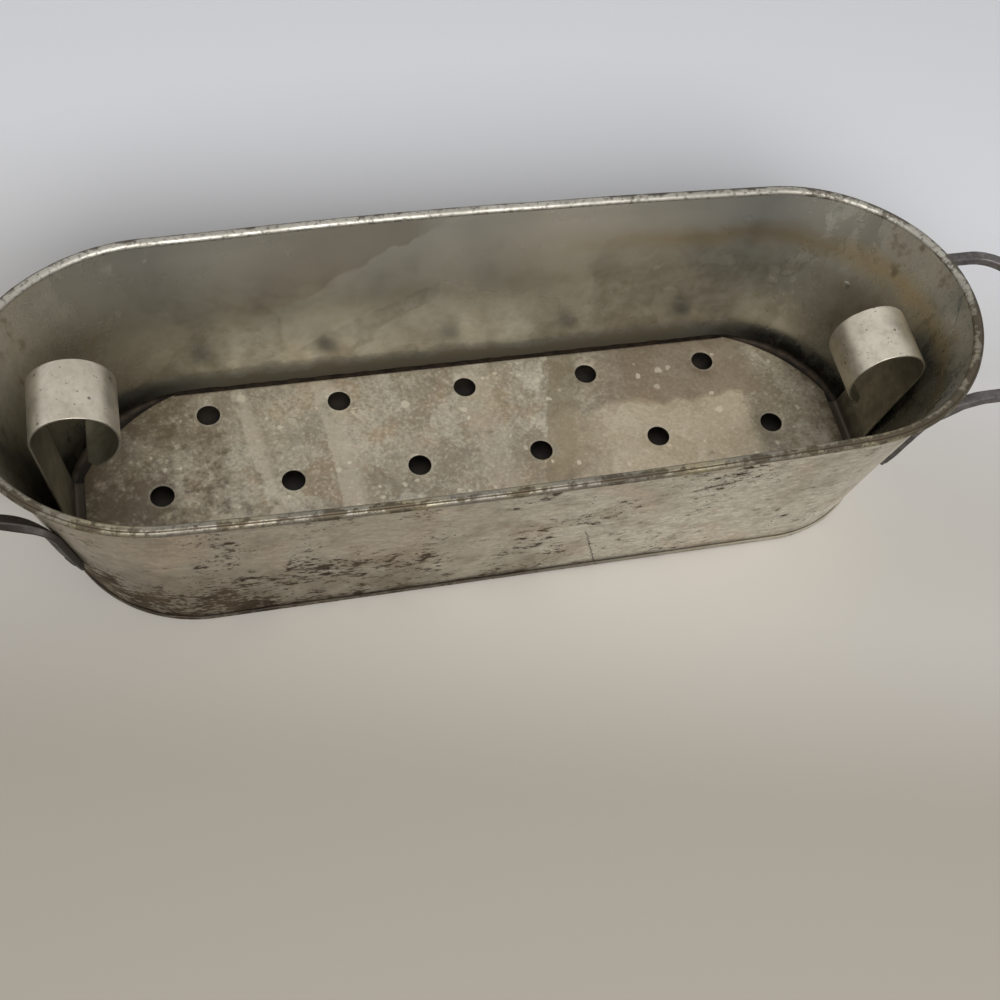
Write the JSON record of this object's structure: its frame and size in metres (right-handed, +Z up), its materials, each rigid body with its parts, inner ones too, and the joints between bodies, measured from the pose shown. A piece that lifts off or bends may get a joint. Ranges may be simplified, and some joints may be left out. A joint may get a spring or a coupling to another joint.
{
  "type": "fish steamer",
  "caption": "Long round-ended tinned sheet-iron pan with a rolled rim and riveted iron loop handles, holding a lift-out pierced rack with curled strip grips",
  "frame": {"origin": "centre of the pan's base, on the surface that it stands on", "axes": "+X runs along the pan, +Y points to its back, +Z points up; the front long side faces -Y"},
  "size_m": [0.63, 0.1732, 0.118],
  "materials": {
    "tinned_wall": "old tinned sheet iron, satin, stained and pitted",
    "tinned_rack": "old tinned sheet iron, mottled and water-marked",
    "tinned_grip": "tinned sheet iron, light satin grey with small dark pits",
    "wire": "plain iron wire inside the rolled rim",
    "solder": "dull grey tin solder, wiped smooth",
    "dark_iron": "dark wrought iron with grey-brown oxide"
  },
  "bodies": {
    "pan": {"wall_front": "tinned_wall", "wall_rear": "tinned_wall", "rim_wire": "wire", "pan_bottom": "tinned_wall", "bottom_lip": "tinned_wall", "bottom_solder": "solder", "seam_solder_left": "solder", "seam_solder_right": "solder", "handle_left": "dark_iron", "handle_right": "dark_iron", "rivet_left_front_lower": "dark_iron", "rivet_left_front_upper": "dark_iron", "rivet_left_rear_lower": "dark_iron", "rivet_left_rear_upper": "dark_iron", "rivet_right_front_lower": "dark_iron", "rivet_right_front_upper": "dark_iron", "rivet_right_rear_lower": "dark_iron", "rivet_right_rear_upper": "dark_iron"},
    "rack": {"rack_plate": "tinned_rack", "rack_fold_front": "tinned_rack", "rack_fold_rear": "tinned_rack", "grip_left": "tinned_grip", "grip_right": "tinned_grip", "grip_solder_left": "solder", "grip_solder_right": "solder"}
  },
  "joints": [
    {"name": "rack_lift", "type": "slide", "parent": "pan", "child": "rack", "axis": [0, 0, 1], "range_m": [0, 0.13]}
  ]
}
